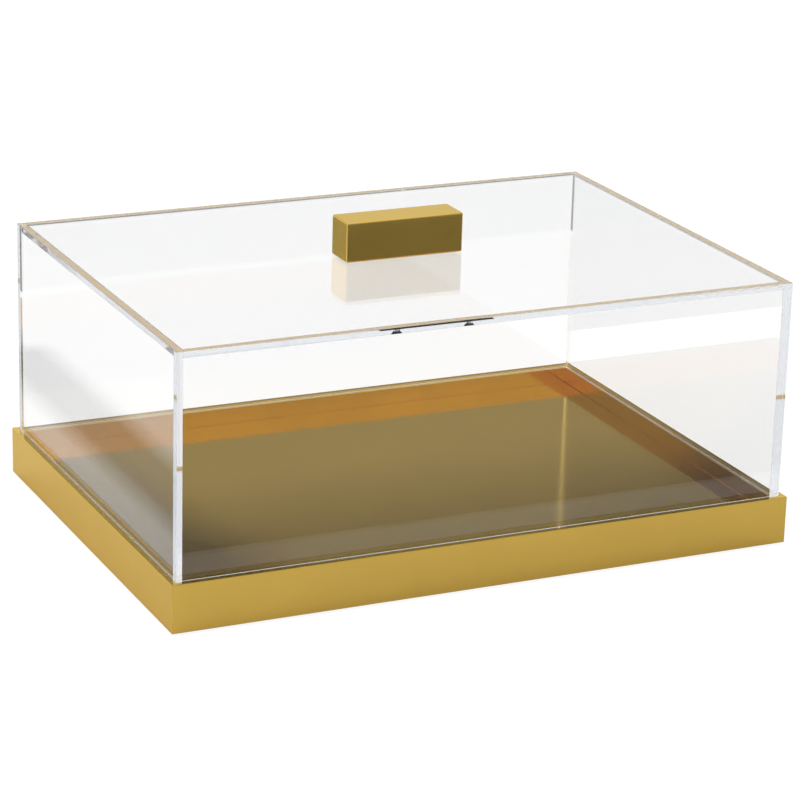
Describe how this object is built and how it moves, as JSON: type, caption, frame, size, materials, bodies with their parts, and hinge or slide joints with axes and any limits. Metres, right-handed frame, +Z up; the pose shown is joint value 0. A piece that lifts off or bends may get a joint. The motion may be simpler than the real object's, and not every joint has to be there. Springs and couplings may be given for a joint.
{
  "type": "cake stand with clear cover",
  "caption": "Low rectangular gold-anodised cake stand with a recessed tray and a clear rectangular lift-off cover carrying a solid gold bar handle.",
  "frame": {"origin": "centre of the stand's footprint, on the surface that the feet rest on", "axes": "+X along the stand's longer side, -Y towards the front, +Z up along the way the cover lifts"},
  "size_m": [0.42, 0.3, 0.201],
  "materials": {
    "gold_anodised": "satin gold anodised aluminium with a fine brushed grain",
    "clear_acrylic": "clear cast acrylic sheet with polished edges",
    "key_metal": "plain die-cast corner key",
    "screw_steel": "plain stainless steel screws",
    "rib_wood": "plain planed hardwood batten",
    "board_black": "black-faced hardboard",
    "foot_rubber": "matt black rubber pad"
  },
  "bodies": {
    "base": {"base_rail_front": "gold_anodised", "base_rail_right": "gold_anodised", "base_rail_back": "gold_anodised", "base_rail_left": "gold_anodised", "corner_key_front_left": "key_metal", "corner_key_front_right": "key_metal", "corner_key_back_left": "key_metal", "corner_key_back_right": "key_metal", "tray_plate": "gold_anodised", "tray_rib_left": "rib_wood", "tray_rib_right": "rib_wood", "underside_board": "board_black", "board_screw_1": "screw_steel", "board_screw_2": "screw_steel", "board_screw_3": "screw_steel", "board_screw_4": "screw_steel", "board_screw_5": "screw_steel", "board_screw_6": "screw_steel", "board_screw_7": "screw_steel", "board_screw_8": "screw_steel", "foot_front_left": "foot_rubber", "foot_front_right": "foot_rubber", "foot_back_left": "foot_rubber", "foot_back_right": "foot_rubber"},
    "cover": {"cover_panel_front": "clear_acrylic", "cover_panel_back": "clear_acrylic", "cover_panel_left": "clear_acrylic", "cover_panel_right": "clear_acrylic", "cover_panel_top": "clear_acrylic", "handle_bar": "gold_anodised", "handle_screw_1": "screw_steel", "handle_screw_2": "screw_steel"}
  },
  "joints": [
    {"name": "cover_lift", "type": "slide", "parent": "base", "child": "cover", "axis": [0, 0, 1], "range_m": [0, 0.25]}
  ]
}
